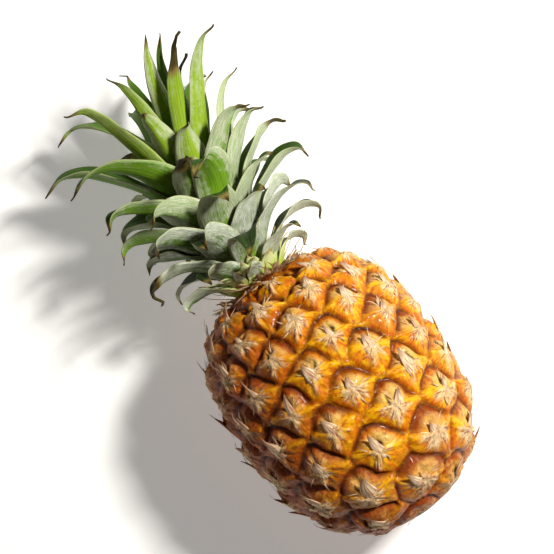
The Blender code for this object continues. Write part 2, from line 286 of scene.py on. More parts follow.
@dataclass(frozen=True)
class RindFinish(Finish):
    """Ripe pineapple rind, grown and waxy: golden fleshy ridges and browner sepals, with painted shade in the creases,
    slits and valleys, and partly painted shade on the browner side away from the key light.
    """

    name: str = "ripe_waxy_rind"
    gold: str = "#E08404"
    bright: str = "#FFBE0C"
    orange: str = "#C65A06"
    green: str = "#A08C12"
    brown: str = "#8A360A"
    sepal: str = "#BF640C"
    sepal_red: str = "#702606"
    sepal_heart: str = "#F2CC72"
    heart: str = "#F8C840"
    paper: str = "#F4D4A0"
    paper_pink: str = "#A06A55"
    dry: str = "#742806"
    # Painted shade for the creases.
    crease_shade: str = "#1C0B02"
    # Painted shade for the slits.
    slit: str = "#140802"

    def material(self) -> bpy.types.Material:
        """Build the rind's material.

        Returns:
            The material.
        """
        material, tree, shader = self.start()
        place_of = add_node(tree, "ShaderNodeTexCoord", {}, {}, "Object")
        names = ("crease_shade", "ridge", "star", "valley_shade", "lobe", "reach", "tone", "slit", "dryness_and_shade")
        crease_shade, ridge, star, valley_shade, lobe, reach, tone, slit, dryness_and_shade = (
            add_node(tree, "ShaderNodeAttribute", {"attribute_name": name}, {}, "Fac") for name in names
        )
        fibre = add_node(tree, "ShaderNodeAttribute", {"attribute_name": "fibre"}, {}, "Vector")
        # Streaks about 1 mm apart run out from each eye's middle, as the bract's fibres do. Blotches 5 mm across
        # vary the ripeness within an eye, the mottling is 2 mm and finer, and green tints are 20 mm across.
        streak, blotch, mottle, wide = (
            add_node(tree, "ShaderNodeTexNoise", {}, noise)
            for noise in (
                {"Vector": fibre, "Scale": 2.6, "Detail": 4.0, "Roughness": 0.65},
                {"Vector": place_of, "Scale": 200.0, "Detail": 3.0},
                {"Vector": place_of, "Scale": 480.0, "Detail": 5.0, "Roughness": 0.7},
                {"Vector": place_of, "Scale": 45.0, "Detail": 2.0},
            )
        )
        # Brown stains are real everywhere, and are thickened towards the valleys as painted shade.
        stain_and_valley_shade = add_node(tree, "ShaderNodeMath", MULTIPLY_ADD, {0: valley_shade, 1: 0.55, 2: 0.10})
        outer = add_node(tree, "ShaderNodeMath", MULTIPLY_ADD, {0: tone, 1: 0.35, 2: reach})
        inner = add_node(tree, "ShaderNodeMath", MULTIPLY_ADD, {0: blotch, 1: 0.6, 2: reach})
        mask = {
            name: add_node(tree, "ShaderNodeMapRange", EASE, {"Value": value, "From Min": low, "From Max": high})
            for name, value, low, high in (
                ("stained", mottle, 0.50, 0.66),
                ("ripe", blotch, 0.42, 0.62),
                ("striped", streak, 0.48, 0.66),
                ("unripe", wide, 0.52, 0.66),
                ("middle", reach, 0.62, 0.25),
                ("middle_fibre", streak, 0.64, 0.40),
                ("valley_fibre", streak, 0.30, 0.60),
                ("sepal_blotch", blotch, 0.42, 0.60),
                ("sepal_fleck", mottle, 0.56, 0.44),
                ("sepal_edge", outer, 0.62, 1.12),
                ("sepal_middle", inner, 1.12, 0.72),
                ("ridge_fibre", streak, 0.66, 0.40),
                ("ruddy", tone, 0.6, 1.0),
                ("dry_blotch", blotch, 0.30, 0.56),
                ("dry_fleck", mottle, 0.44, 0.60),
                ("paper_fibre", streak, 0.47, 0.62),
                ("paper_left", mottle, 0.68, 0.50),
            )
        }
        flank = self.layered(tree, linear(self.gold), (
            (mask["ripe"], 1.0, self.bright),
            (mask["striped"], 0.8, self.orange),
            (mask["unripe"], 0.35, self.green),
            (mask["middle"], mask["middle_fibre"], self.heart),
            # Orange along the fibres near the borders is painted shade in the valleys.
            (mask["valley_fibre"], valley_shade, self.orange),
            (mask["stained"], stain_and_valley_shade, self.brown),
        ))
        sepals = self.layered(tree, linear(self.sepal), (
            (mask["sepal_blotch"], 1.0, self.orange),
            (mask["sepal_fleck"], 1.0, self.gold),
            (mask["sepal_edge"], 0.9, self.sepal_red),
            (mask["sepal_middle"], 0.85, self.sepal_heart),
            (mask["stained"], 0.45, self.sepal_red),
        ))
        paper = self.layered(tree, linear(self.paper), (
            (mask["paper_fibre"], 1.0, self.paper_pink),
            (mask["stained"], 0.3, self.brown),
        ))
        skin = self.layered(tree, flank, (
            (lobe, 1.0, sepals),
            (mask["ridge_fibre"], ridge, self.bright),
            (mask["ruddy"], 0.3, self.orange),
            # Towards +Y the skin turns redder and browner: partly its own drying, partly painted shade on the side
            # away from the key light.
            (dryness_and_shade, 0.7, self.orange),
            (mask["dry_blotch"], dryness_and_shade, self.brown),
            (mask["dry_fleck"], dryness_and_shade, self.dry),
            (mask["paper_left"], star, paper),
            # The creases are painted in dark shade.
            (crease_shade, 1.0, self.crease_shade),
            # The slits are painted in dark shade.
            (slit, 1.0, self.slit),
        ))
        tree.links.new(skin, shader.inputs["Base Color"])
        # The wax is worn off where the skin is stained, papery or dry, so those parts are duller.
        rough = 0.38
        for value, weight in ((mask["stained"], 0.2), (star, 0.4), (dryness_and_shade, 0.2)):
            rough = add_node(tree, "ShaderNodeMath", MULTIPLY_ADD, {0: value, 1: weight, 2: rough})
        tree.links.new(rough, shader.inputs["Roughness"])
        shader.inputs["IOR"].default_value = 1.45
        shader.inputs["Specular IOR Level"].default_value = 0.2
        shader.inputs["Coat Weight"].default_value = 0.16
        shader.inputs["Coat Roughness"].default_value = 0.14
        grain = add_node(tree, "ShaderNodeMath", MULTIPLY_ADD, {0: mottle, 1: 0.8, 2: streak})
        bump = add_node(tree, "ShaderNodeBump", {}, {"Strength": 0.8, "Distance": 0.8 * MM, "Height": grain})
        tree.links.new(bump, shader.inputs["Normal"])
        return material


@dataclass(frozen=True)
class PaperFinish(Finish):
    """Dried bract: papery, matt and fibrous, pale in the middle and browner to its tip."""

    pale: str = "#F2DAB2"
    pink: str = "#B27A5A"
    tip: str = "#74421E"

    def material(self) -> bpy.types.Material:
        """Build the dry bract's material.

        Returns:
            The material.
        """
        material, tree, shader = self.start()
        along, across, tone = (
            add_node(tree, "ShaderNodeAttribute", {"attribute_name": name}, {}, "Fac")
            for name in ("along", "across", "tone")
        )
        run = add_node(tree, "ShaderNodeCombineXYZ", {}, {
            i: add_node(tree, "ShaderNodeMath", MULTIPLY, {0: value, 1: weight})
            for i, (value, weight) in enumerate(((across, 3.0), (along, 1.0), (tone, 40.0)))
        })
        # Fibres about half a millimetre apart run the length of the bract.
        fibre = add_node(tree, "ShaderNodeTexNoise", {}, {"Vector": run, "Scale": 2.5, "Detail": 3.0})
        streaked, ruddy, browned = (
            add_node(tree, "ShaderNodeMapRange", EASE, {"Value": value, "From Min": low, "From Max": high})
            for value, low, high in ((fibre, 0.42, 0.62), (tone, 0.55, 1.0), (along, 0.55, 1.0))
        )
        colour = self.layered(tree, linear(self.pale), (
            (streaked, 1.0, self.pink),
            (ruddy, 0.6, self.pink),
            (browned, 0.8, self.tip),
        ))
        tree.links.new(colour, shader.inputs["Base Color"])
        shader.inputs["Roughness"].default_value = 0.8
        shader.inputs["IOR"].default_value = 1.45
        bump = add_node(tree, "ShaderNodeBump", {}, {"Strength": 0.5, "Distance": 0.3 * MM, "Height": fibre})
        tree.links.new(bump, shader.inputs["Normal"])
        return material


@dataclass(frozen=True)
class LeafFinish(Finish):
    """Living crown leaf: waxy green with parallel veins, pale scurf below, yellow base and dry tip."""

    under: str = "#7CAA26"
    # The inner face's dark green is partly its own colour, partly painted shade for the crown's depths.
    inner: str = "#24400C"
    vein: str = "#4A7416"
    bloom_and_light: str = "#D2D8BA"
    lime: str = "#A9C23A"
    margin: str = "#C9C486"
    straw: str = "#8C7A3C"
    dead: str = "#4A4018"

    def material(self) -> bpy.types.Material:
        """Build the leaf's material.

        Returns:
            The material.
        """
        material, tree, shader = self.start()
        across, along, tone, bloom_and_light, under = (
            add_node(tree, "ShaderNodeAttribute", {"attribute_name": name}, {}, "Fac")
            for name in ("across", "along", "tone", "bloom_and_light", "under")
        )
        place_of = add_node(tree, "ShaderNodeTexCoord", {}, {}, "Object")
        run = add_node(tree, "ShaderNodeCombineXYZ", {}, {
            i: add_node(tree, "ShaderNodeMath", MULTIPLY, {0: value, 1: weight})
            for i, (value, weight) in enumerate(((across, 7.0), (along, 2.2), (tone, 60.0)))
        })
        # Veins about 1.2 mm apart run the length of the blade. Scurf rubs off in long patches with a broken edge,
        # made of a drawn-out noise and one of 4 mm patches, and specks are under 1 mm. Hair lines a quarter of
        # a millimetre wide are where the scurf has cracked along the blade.
        veins, rubbed, patch, fine, hairs = (
            add_node(tree, "ShaderNodeTexNoise", {}, noise)
            for noise in (
                {"Vector": run, "Scale": 1.3, "Detail": 3.0},
                {"Vector": run, "Scale": 0.42, "Detail": 6.0, "Roughness": 0.6},
                {"Vector": place_of, "Scale": 260.0, "Detail": 5.0, "Roughness": 0.7},
                {"Vector": place_of, "Scale": 1500.0, "Detail": 3.0},
                {"Vector": run, "Scale": 5.0, "Detail": 4.0, "Roughness": 0.7},
            )
        )
        patch = add_node(tree, "ShaderNodeMix", {"data_type": "FLOAT"}, {0: 0.5, 2: patch, 3: rubbed})
        # Where the hairs' noise crosses its middle value it draws torn fibres.
        crossing = add_node(tree, "ShaderNodeMath", {"operation": "SUBTRACT"}, {0: hairs, 1: 0.5})
        side, crossing = (
            add_node(tree, "ShaderNodeMath", {"operation": "ABSOLUTE"}, {0: value}) for value in (across, crossing)
        )
        # One leaf in eight has withered a fifth of the way back from its tip.
        withered = add_node(tree, "ShaderNodeMapRange", EASE, {"Value": tone, "From Min": 0.86, "From Max": 0.90})
        # The scurf is thickest along the edges and the upper part, thinnest in the rubbed middle near the base, and
        # heavier on leaves towards the key light, as painted light.
        cover, ragged, grain = patch, along, veins
        for value, weight in ((side, 0.22), (along, 0.16), (bloom_and_light, 0.32)):
            cover = add_node(tree, "ShaderNodeMath", MULTIPLY_ADD, {0: value, 1: weight, 2: cover})
        for value, weight in ((patch, 0.10), (withered, 0.20)):
            ragged = add_node(tree, "ShaderNodeMath", MULTIPLY_ADD, {0: value, 1: weight, 2: ragged})
        for value, weight in ((fine, 0.25), (hairs, 0.5)):
            grain = add_node(tree, "ShaderNodeMath", MULTIPLY_ADD, {0: value, 1: weight, 2: grain})
        mask = {
            name: add_node(tree, "ShaderNodeMapRange", EASE, {"Value": value, "From Min": low, "From Max": high})
            for name, value, low, high in (
                ("veined", veins, 0.46, 0.62),
                ("base", along, 0.24, 0.04),
                ("left", cover, 0.72, 0.90),
                ("cracked", hairs, 0.60, 0.48),
                ("scurfed_and_lit", bloom_and_light, 0.0, 0.35),
                ("torn", crossing, 0.030, 0.006),
                ("rim", side, 0.93, 1.0),
                ("specked", fine, 0.58, 0.70),
                ("straw", ragged, 0.94, 0.99),
                ("dead", ragged, 0.98, 1.02),
            )
        }
        scurf = add_node(tree, "ShaderNodeMath", MULTIPLY_ADD, {0: mask["cracked"], 1: 0.66, 2: 0.30})
        for value in (mask["left"], mask["scurfed_and_lit"]):
            scurf = add_node(tree, "ShaderNodeMath", MULTIPLY, {0: scurf, 1: value})
        # Each blade starts from the dark inner green, partly painted shade, and its outer face takes the under colour.
        colour = self.layered(tree, linear(self.inner), (
            (under, 1.0, self.under),
            (mask["veined"], 0.45, self.vein),
            (mask["base"], 0.45, self.lime),
            (scurf, under, self.bloom_and_light),
            (mask["torn"], 0.5, self.vein),
            (mask["rim"], 0.45, self.margin),
            (mask["specked"], 0.25, self.straw),
            (mask["straw"], 1.0, self.straw),
            (mask["dead"], 1.0, self.dead),
        ))
        tree.links.new(colour, shader.inputs["Base Color"])
        shader.inputs["Roughness"].default_value = 0.5
        shader.inputs["IOR"].default_value = 1.42
        shader.inputs["Specular IOR Level"].default_value = 0.3
        bump = add_node(tree, "ShaderNodeBump", {}, {"Strength": 0.7, "Distance": 0.7 * MM, "Height": grain})
        tree.links.new(bump, shader.inputs["Normal"])
        return material


@dataclass(frozen=True)
class BasalLeafFinish(Finish):
    """Small young leaf at the crown's foot: lime to pale yellow, bleached and tan towards its tip."""

    name: str = "pale_lime_leaf"
    lime: str = "#A8C23C"
    pale: str = "#D8DCA0"
    tan: str = "#B79A62"

    def material(self) -> bpy.types.Material:
        """Build the basal leaf's material.

        Returns:
            The material.
        """
        material, tree, shader = self.start()
        along, across, tone = (
            add_node(tree, "ShaderNodeAttribute", {"attribute_name": name}, {}, "Fac")
            for name in ("along", "across", "tone")
        )
        run = add_node(tree, "ShaderNodeCombineXYZ", {}, {
            i: add_node(tree, "ShaderNodeMath", MULTIPLY, {0: value, 1: weight})
            for i, (value, weight) in enumerate(((across, 4.0), (along, 1.0), (tone, 40.0)))
        })
        # Veins about 1 mm apart run the length of the blade.
        veins = add_node(tree, "ShaderNodeTexNoise", {}, {"Vector": run, "Scale": 1.6, "Detail": 3.0})
        bleached, veined, browned = (
            add_node(tree, "ShaderNodeMapRange", EASE, {"Value": value, "From Min": low, "From Max": high})
            for value, low, high in ((along, 0.15, 0.60), (veins, 0.50, 0.66), (along, 0.72, 1.0))
        )
        colour = self.layered(tree, linear(self.lime), (
            (bleached, 1.0, self.pale),
            (veined, 0.6, self.lime),
            (browned, 1.0, self.tan),
        ))
        tree.links.new(colour, shader.inputs["Base Color"])
        shader.inputs["Roughness"].default_value = 0.55
        shader.inputs["IOR"].default_value = 1.42
        bump = add_node(tree, "ShaderNodeBump", {}, {"Strength": 0.4, "Distance": 0.4 * MM, "Height": veins})
        tree.links.new(bump, shader.inputs["Normal"])
        return material


@dataclass(frozen=True)
class StemFinish(Finish):
    """Plant stem, fibrous: the crown's pale green one, or the dry brown stub of the stalk."""

    light: str = "#A9B85A"
    dark: str = "#6E7A2C"

    def material(self) -> bpy.types.Material:
        """Build the stem's material.

        Returns:
            The material.
        """
        material, tree, shader = self.start()
        place_of = add_node(tree, "ShaderNodeTexCoord", {}, {}, "Object")
        # Fibres 1 mm apart lie along the stem, so the pattern is drawn out along X.
        run = add_node(tree, "ShaderNodeMapping", {}, {"Vector": place_of, "Scale": (150.0, 900.0, 900.0)})
        fibre = add_node(tree, "ShaderNodeTexNoise", {}, {"Vector": run, "Scale": 1.0, "Detail": 3.0})
        streaked = add_node(tree, "ShaderNodeMapRange", EASE, {"Value": fibre, "From Min": 0.40, "From Max": 0.62})
        colour = self.layered(tree, linear(self.light), ((streaked, 1.0, self.dark),))
        tree.links.new(colour, shader.inputs["Base Color"])
        shader.inputs["Roughness"].default_value = 0.75
        shader.inputs["IOR"].default_value = 1.45
        bump = add_node(tree, "ShaderNodeBump", {}, {"Strength": 0.6, "Distance": 0.5 * MM, "Height": fibre})
        tree.links.new(bump, shader.inputs["Normal"])
        return material


@dataclass(frozen=True)
class FloorFinish(Finish):
    """Pale matt floor that the fruit lies on, with a faint painted glow that lightens its cast shadow."""

    name: str = "pale_floor_with_painted_glow"
    colour: str = "#F8F8F7"
    cloudy: str = "#F2F1EE"
    glow: float = 0.30

    def material(self) -> bpy.types.Material:
        """Build the floor's material.

        Returns:
            The material.
        """
        material, tree, shader = self.start()
        place_of = add_node(tree, "ShaderNodeTexCoord", {}, {}, "Object")
        # The sheet's faint clouding is a third of a metre across.
        cloud = add_node(tree, "ShaderNodeTexNoise", {}, {"Vector": place_of, "Scale": 3.0, "Detail": 1.0})
        faint = add_node(tree, "ShaderNodeMapRange", EASE, {"Value": cloud, "From Min": 0.4, "From Max": 0.6})
        colour = self.layered(tree, linear(self.colour), ((faint, 0.25, self.cloudy),))
        tree.links.new(colour, shader.inputs["Base Color"])
        # The floor glows faintly, as painted light that lightens the cast shadow.
        shader.inputs["Emission Color"].default_value = linear(self.colour)
        shader.inputs["Emission Strength"].default_value = self.glow
        shader.inputs["Roughness"].default_value = 0.9
        return material


# ---------------------------------------------------------------------------------------------------------
# the fruit
# ---------------------------------------------------------------------------------------------------------
@dataclass
class FruitForm:
    """The barrel under the eyes, and where the eyes sit on it."""

    half_length: float = 75.5 * MM
    radius: float = 60.6 * MM
    crown_fullness: float = 2.8
    stalk_fullness: float = 2.4
    eye_count: int = 106
    eye_phase: float = math.radians(351.0)
    crowding: float = 0.4
    seat_radius: float = 16.0 * MM
    stalk_radius: float = 10.0 * MM
    recess: float = 4.0 * MM

    def __post_init__(self) -> None:
        """Find the fruit's middle from the CAD node, and lay out the eyes."""
        low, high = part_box("fruit")
        self.middle = np.array((high.x - self.half_length, (low.y + high.y) / 2.0, high.z - self.radius))
        self.floor = low.z
        xs = -self.half_length * np.cos(np.linspace(0.0, math.pi, 1201))
        self.outline = np.stack((xs, self.barrel(xs)), 1)
        steps = np.hypot(*np.diff(self.outline, axis=0).T)
        self.travelled = np.concatenate(([0.0], np.cumsum(steps)))
        self.centres, self.outward, self.crownward, self.around = self.eyes()
        gaps = np.linalg.norm(self.centres[:, None] - self.centres[None], axis=2)
        self.cell = np.sort(gaps, axis=1)[:, 1:7].mean(1) / 2.0

    def barrel(self, xs: np.ndarray) -> np.ndarray:
        """Radius of the barrel at distances from its middle.

        Args:
            xs: Distances along the fruit.

        Returns:
            The radii.
        """
        fullness = np.where(xs > 0, self.crown_fullness, self.stalk_fullness)
        inside = 1.0 - (np.abs(xs) / self.half_length) ** fullness
        return self.radius * np.maximum(0.0, inside) ** (1.0 / fullness)

    def skin_frame(self, xs: np.ndarray, turns: np.ndarray) -> tuple[np.ndarray, np.ndarray, np.ndarray]:
        """Directions on the barrel's skin.

        Args:
            xs: Distances along the fruit.
            turns: Angles round it from straight up.

        Returns:
            Outward, towards the crown and round the fruit, as unit vectors.
        """
        step = 0.2 * MM
        ahead, behind = np.minimum(xs + step, self.half_length), np.maximum(xs - step, -self.half_length)
        slope = np.arctan((self.barrel(ahead) - self.barrel(behind)) / (2.0 * step))
        radial = np.stack((np.zeros_like(turns), np.sin(turns), np.cos(turns)), -1)
        axial = np.array((1.0, 0.0, 0.0))
        outward = radial * np.cos(slope)[..., None] - axial * np.sin(slope)[..., None]
        crownward = radial * np.sin(slope)[..., None] + axial * np.cos(slope)[..., None]
        return outward, crownward, np.cross(outward, crownward)

    def eyes(self) -> tuple[np.ndarray, np.ndarray, np.ndarray, np.ndarray]:
        """Middles of the eyes, one golden angle apart, and their own directions.

        Returns:
            Middles from the fruit's middle, then outward, crownward and around for each.
        """
        xs, radii = self.outline.T
        share = (radii[1:] + radii[:-1]) * np.diff(self.travelled)
        share *= 1.0 + self.crowding * (xs[1:] + xs[:-1]) / (2.0 * self.half_length)
        total = np.concatenate(([0.0], np.cumsum(share)))
        order = np.arange(self.eye_count)
        along = np.interp((order + 0.5) / self.eye_count, total / total[-1], xs)
        turns = -(order * GOLDEN_ANGLE + self.eye_phase)
        radius = self.barrel(along)
        middles = np.stack((along, radius * np.sin(turns), radius * np.cos(turns)), 1)
        return (middles, *self.skin_frame(along, turns))


@dataclass
class Rind:
    """The fruit's skin with all its eyes: bract flanks, sepal pockets, ridges and creases in relief."""

    form: FruitForm
    around_steps: int = 432
    along_steps: int = 228
    # Headings of the ridges of an eye, from the crown's direction.
    spine_angle: float = math.radians(2.0)
    left_wing: float = math.radians(72.0)
    tail: float = math.radians(152.0)
    right_wing: float = math.radians(-106.0)
    # The relief, in mm.
    usual_cell: float = 12.0
    pocket_depth: float = 2.9
    flank_drop: float = 0.9
    groove_depth: float = 1.1
    groove_width: float = 0.9
    blend_width: float = 0.8
    swell: float = 1.6
    wing_height: float = 1.1
    sepal_height: float = 1.7
    dish_depth: float = 1.2
    spine_depth: float = 0.8
    tail_height: float = 0.9
    pleat_height: float = 0.34
    unevenness: float = 0.9
    slit_depth: float = 1.7
    star_height: float = 0.45
    settle: float = 1.5
    drift: float = 1.1 * MM
    snap: float = 0.42 * MM
    seed: int = 7

    def __post_init__(self) -> None:
        """Give every eye its own tone, tilt and rays."""
        rng, count = np.random.default_rng(self.seed), self.form.eye_count
        self.tone = rng.uniform(0.0, 1.0, count)
        self.tilt = rng.uniform(-0.16, 0.16, count)
        self.rays = rng.uniform(0.0, TURN, (count, 4))
        # Six slow waves, 14 to 30 mm long, in any direction.
        self.waves = unit(rng.normal(0.0, 1.0, (6, 3)))
        self.waves *= (TURN / (rng.uniform(14.0, 30.0, 6) * MM))[:, None]
        self.phases = rng.uniform(0.0, TURN, (6, 3))

    def build(self) -> bpy.types.Object:
        """Build the skin.

        Returns:
            The rind's object.
        """
        bm = bmesh.new()
        bmesh.ops.create_grid(bm, x_segments=self.around_steps, y_segments=self.along_steps, size=1.0)
        for vert in bm.verts:
            turn, polar = math.pi * vert.co.x, math.pi * (vert.co.y + 1.0) / 2.0
            vert.co = (math.sin(polar) * math.cos(turn), math.sin(polar) * math.sin(turn), -math.cos(polar))
        bmesh.ops.remove_doubles(bm, verts=[v for v in bm.verts if v.is_boundary], dist=1e-5)
        mesh = closed_mesh(bm, "rind")
        ball = np.empty(len(mesh.vertices) * 3, np.float32)
        mesh.vertices.foreach_get("co", ball)
        points, marks = self.shape(ball.reshape(-1, 3).astype(float))
        mesh.vertices.foreach_set("co", points.astype(np.float32).ravel())
        mesh.update()
        self.face_out(mesh)
        for name, values in marks.items():
            store(mesh, name, values)
        return place(mesh, "rind", RindFinish().material(), Slot.RIND, "fruit")

    def face_out(self, mesh: bpy.types.Mesh) -> None:
        """Turn the skin's faces outwards.

        Args:
            mesh: The skin, closed and in its final shape.
        """
        bm = bmesh.new()
        bm.from_mesh(mesh)
        bmesh.ops.recalc_face_normals(bm, faces=bm.faces)
        bm.to_mesh(mesh)
        bm.free()

    def shape(self, ball: np.ndarray) -> tuple[np.ndarray, dict[str, np.ndarray]]:
        """Move a unit ball's points onto the rind.

        Args:
            ball: Points of the unit ball.

        Returns:
            The rind's points, and the numbers that its material reads.
        """
        form = self.form
        polar = np.arccos(np.clip(-ball[:, 2], -1.0, 1.0)) / math.pi
        turns = np.arctan2(ball[:, 1], ball[:, 0])
        xs = np.interp(polar * form.travelled[-1], form.travelled, form.outline[:, 0])
        radii = form.barrel(xs)
        skin = np.stack((xs, radii * np.sin(turns), radii * np.cos(turns)), 1)
        outward = form.skin_frame(xs, turns)[0]
        skin = self.snapped(skin, outward)
        height, marks = self.relief(skin, radii)
        points = skin + outward * height[:, None] * MM
        dimple = smooth(radii, form.stalk_radius + 7.0 * MM, form.stalk_radius) * (xs < 0.0)
        points[:, 0] += form.recess * dimple
        points += form.middle
        points[:, 2] = np.maximum(points[:, 2], form.floor)
        return points, marks

    def strayed(self, skin: np.ndarray) -> np.ndarray:
        """Shift points by slow waves, so that no two eyes have the same outline.

        Args:
            skin: Points on the smooth barrel.

        Returns:
            The shifted points.
        """
        shift = sum(np.sin((skin @ wave)[:, None] + phase) for wave, phase in zip(self.waves, self.phases))
        return skin + shift * self.drift / 2.4

    def nearest(self, skin: np.ndarray) -> tuple[np.ndarray, np.ndarray, np.ndarray, np.ndarray]:
        """Find the two eyes closest to each point.

        Args:
            skin: Points on the smooth barrel.

        Returns:
            The closest eye, the one across the closest border, the way to that border and how far it is.
        """
        centres, wavy = self.form.centres, self.strayed(skin)
        gaps = np.linalg.norm(wavy[:, None] - centres[None], axis=2)
        near = np.argpartition(gaps, 7, axis=1)[:, :7]
        rows = np.arange(len(skin))[:, None]
        near = near[rows, np.argsort(gaps[rows, near], axis=1)]
        first, others = near[:, 0], near[:, 1:]
        apart = np.linalg.norm(centres[others] - centres[first][:, None], axis=2)
        borders = (gaps[rows, others] ** 2 - gaps[rows, first[:, None]] ** 2) / (2.0 * apart)
        pick = np.argmin(borders, axis=1)
        second = others[rows[:, 0], pick]
        return first, second, unit(centres[second] - centres[first]), borders[rows[:, 0], pick]

    def snapped(self, skin: np.ndarray, outward: np.ndarray) -> np.ndarray:
        """Slide the points beside a border onto it, so that creases run clean.

        Args:
            skin: Points on the smooth barrel.
            outward: Direction away from the skin at each.

        Returns:
            The points, some of them moved.
        """
        _, _, way, border = self.nearest(skin)
        way = way - outward * np.einsum("ij,ij->i", way, outward)[:, None]
        return skin + way * np.where(border < self.snap, border, 0.0)[:, None]

    def relief(self, skin: np.ndarray, radii: np.ndarray) -> tuple[np.ndarray, dict[str, np.ndarray]]:
        """Height of the eyes over the barrel, and what each spot of the skin is.

        Args:
            skin: Points on the smooth barrel.
            radii: Their distances from the fruit's axis.

        Returns:
            Heights in mm, and marks by name.
        """
        form = self.form
        first, second, _, border = self.nearest(skin)
        border = border / MM
        wavy = self.strayed(skin)
        own, other = self.eye(wavy, first, border), self.eye(wavy, second, border)
        # At a border both eyes have half a say, so the skin doesn't step there.
        across = 0.5 * np.exp(-((border / self.blend_width) ** 2))
        marks = {name: own[name] * (1.0 - across) + other[name] * across for name in own if name != "fibre"}
        # The eyes fade out under the crown and the stalk, and at the flat spot that the fruit rests on.
        seat = form.seat_radius / MM
        ends = smooth(radii / MM, seat, seat + 9.0)
        under = np.linalg.norm(skin + np.array((0.0, 0.0, form.radius)), axis=1) / MM
        height = (marks.pop("height") - self.settle) * ends * smooth(under, 20.0, 29.0)
        # Towards +Y, the side away from the key light, the skin is browner: partly its own drying, partly painted
        # shade. Both ends are browner too.
        dry = 0.70 * smooth(skin[:, 1] / MM, -4.0, 58.0) + 0.45 * smooth(-skin[:, 0] / MM, 45.0, 75.0)
        dry += 0.5 * smooth(skin[:, 0] / MM, 64.0, 74.0)
        marks["dryness_and_shade"] = np.clip(dry, 0.0, 1.0)
        marks["crease_shade"] = marks["crease_shade"] * ends
        marks["fibre"] = own["fibre"]
        return height, marks

    def arm(self, reach: np.ndarray, angle: np.ndarray, heading: float, width: np.ndarray) -> np.ndarray:
        """How close a spot is to a ridge that runs out from the eye's middle.

        Args:
            reach: Distance from the middle, in mm.
            angle: Angle round the middle.
            heading: The ridge's own angle.
            width: Its half width, in mm.

        Returns:
            1 on the ridge, falling to 0 beside it.
        """
        turn = angle - heading
        off = np.where(np.cos(turn) > 0, np.abs(reach * np.sin(turn)), reach)
        return np.exp(-((off / width) ** 2))

    def eye(self, wavy: np.ndarray, eyes: np.ndarray, border: np.ndarray) -> dict[str, np.ndarray]:
        """Height and marks of spots that belong to given eyes.

        Args:
            wavy: The spots, from the fruit's middle.
            eyes: The eye that each one belongs to.
            border: How far each one is from the eye's border, in mm.

        Returns:
            The height in mm and every mark, by name.
        """
        form = self.form
        offset = (wavy - form.centres[eyes]) / MM
        up = np.einsum("ij,ij->i", offset, form.crownward[eyes])
        side = np.einsum("ij,ij->i", offset, form.around[eyes])
        cell, tone, rays = form.cell[eyes] / MM, self.tone[eyes], self.rays[eyes].T
        reach, angle = np.hypot(up, side), np.arctan2(side, up) - self.tilt[eyes]
        share = reach / cell
        # The bract's two wings and its tail, and the spine between the sepals, run out from the middle.
        left, right, tail, spine = (
            self.arm(reach, angle, heading, width * cell / self.usual_cell)
            for heading, width in (
                (self.left_wing, 2.0), (self.right_wing, 2.1), (self.tail, 1.2), (self.spine_angle, 1.4),
            )
        )
        wings = np.maximum(left, right) * smooth(reach, 0.5, 3.0)
        # Between the wings, on the crown side, the sepals lie in a pocket with a rim.
        turned = (angle - self.right_wing) % TURN
        span = (self.left_wing - self.right_wing) % TURN
        upper = smooth(turned, 0.0, 0.2) * smooth(turned, span, span - 0.2)
        lower = 1.0 - upper
        rim = cell * (1.03 + 0.05 * np.sin(3.0 * angle + rays[0])) - reach
        pocket = -0.8 * np.logaddexp(-border / 0.8, -rim / 0.8)
        inside = -self.pocket_depth * (1.0 - smooth(pocket, 0.0, 5.2))
        climb = (self.pocket_depth - 0.7) * smooth(-pocket, 0.0, 1.5)
        inside = np.where(pocket > 0.0, inside, climb - self.pocket_depth)
        flank = -self.flank_drop * (1.0 - smooth(border, 0.0, 5.0))
        flank -= self.groove_depth * np.exp(-((border / self.groove_width) ** 2))
        height = (flank + (inside - flank) * upper) * (1.0 - 0.55 * wings)
        height += self.swell * (1.0 - smooth(share, 0.0, 1.05)) + self.wing_height * wings * smooth(share, 1.4, 0.8)
        # Two sepals swell on either side of the spine, in a dish round the middle.
        mid_left, mid_right = (0.5 * (wing + self.spine_angle) for wing in (self.left_wing, self.right_wing))
        lobes = np.maximum(np.exp(-(((angle - mid_left) / 0.42) ** 2)), np.exp(-(((angle - mid_right) / 0.62) ** 2)))
        bulge = np.sin(math.pi * np.clip(share, 0.0, 1.0) ** 0.8) ** 1.2
        height += self.sepal_height * lobes * bulge * upper
        height -= self.dish_depth * upper * smooth(share, 0.05, 0.25) * smooth(share, 1.0, 0.5)
        height -= self.spine_depth * spine * smooth(reach, 2.0, 4.5) * upper
        # Below, the bract's tail stands up and its flesh is pleated.
        height += self.tail_height * tail * smooth(reach, 1.0, 4.0) * lower * smooth(share, 1.1, 0.7)
        pleats = np.sin(angle * 11.0 + rays[1] + 0.5 * np.sin(reach))
        pleats += 0.7 * np.sin(angle * 19.0 + rays[2] + 0.8 * np.cos(reach))
        height += self.pleat_height * pleats * lower * smooth(share, 0.1, 0.3) * smooth(share, 1.0, 0.6)
        height += self.unevenness * (tone - 0.5) * smooth(border, 0.0, 6.0)
        # A bowed slit opens beside the middle; the dark in it is painted shade.
        slit_side = np.where(tone > 0.35, 1.0, -1.0)
        bow = 1.8 + 0.5 * np.sin(up * 0.9 + rays[0])
        slit = np.exp(-(((side * slit_side - bow) / 0.75) ** 2) - ((up - 2.2) / 3.2) ** 2) * upper
        height -= self.slit_depth * slit
